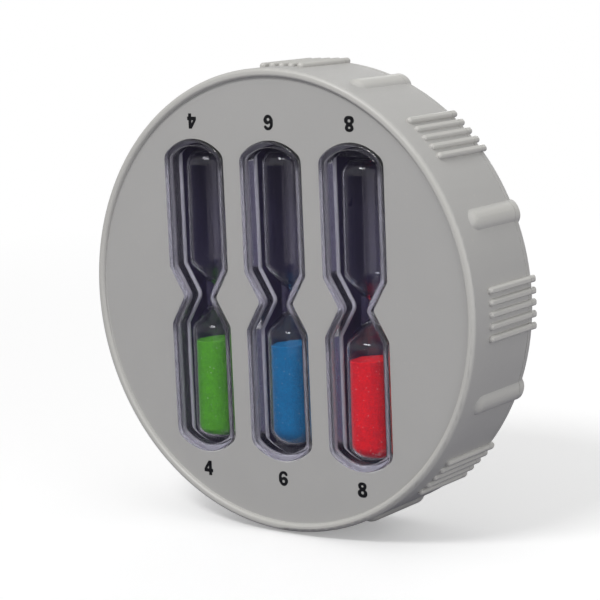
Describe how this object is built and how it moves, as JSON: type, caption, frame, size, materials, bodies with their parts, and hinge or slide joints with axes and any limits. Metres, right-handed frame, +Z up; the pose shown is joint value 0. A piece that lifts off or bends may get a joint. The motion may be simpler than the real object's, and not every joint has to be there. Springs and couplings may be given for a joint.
{
  "type": "sand timer",
  "caption": "Round drum-shaped sand timer standing on its ribbed rim, with tubes of coloured sand behind clear hourglass-shaped windows.",
  "frame": {"origin": "on the surface the timer stands on, straight below the drum's axis, at mid thickness", "axes": "+Z up, -Y out of the front face, +X to the right seen from the front"},
  "size_m": [0.0952, 0.0222, 0.0952],
  "materials": {
    "grey_plastic": "satin moulded, light warm grey",
    "clear_plastic": "polished clear plastic",
    "frame_plastic": "smooth pale grey",
    "black_plastic": "matt black",
    "tube_glass": "clear blown glass",
    "green_sand": "fine dyed sand",
    "blue_sand": "fine dyed sand",
    "red_sand": "fine dyed sand",
    "black_foam": "soft closed-cell foam",
    "screw_steel": "zinc plated"
  },
  "bodies": {
    "root": {"front_shell": "grey_plastic", "rear_cover": "grey_plastic", "cover_screws": "screw_steel", "clear_window": "clear_plastic", "tube_frame": "frame_plastic", "tube_tray": "black_plastic", "glass_tube_4": "tube_glass", "sand_4": "green_sand", "upper_cushion_4": "black_foam", "lower_cushion_4": "black_foam", "glass_tube_6": "tube_glass", "sand_6": "blue_sand", "upper_cushion_6": "black_foam", "lower_cushion_6": "black_foam", "glass_tube_8": "tube_glass", "sand_8": "red_sand", "upper_cushion_8": "black_foam", "lower_cushion_8": "black_foam"}
  },
  "joints": []
}
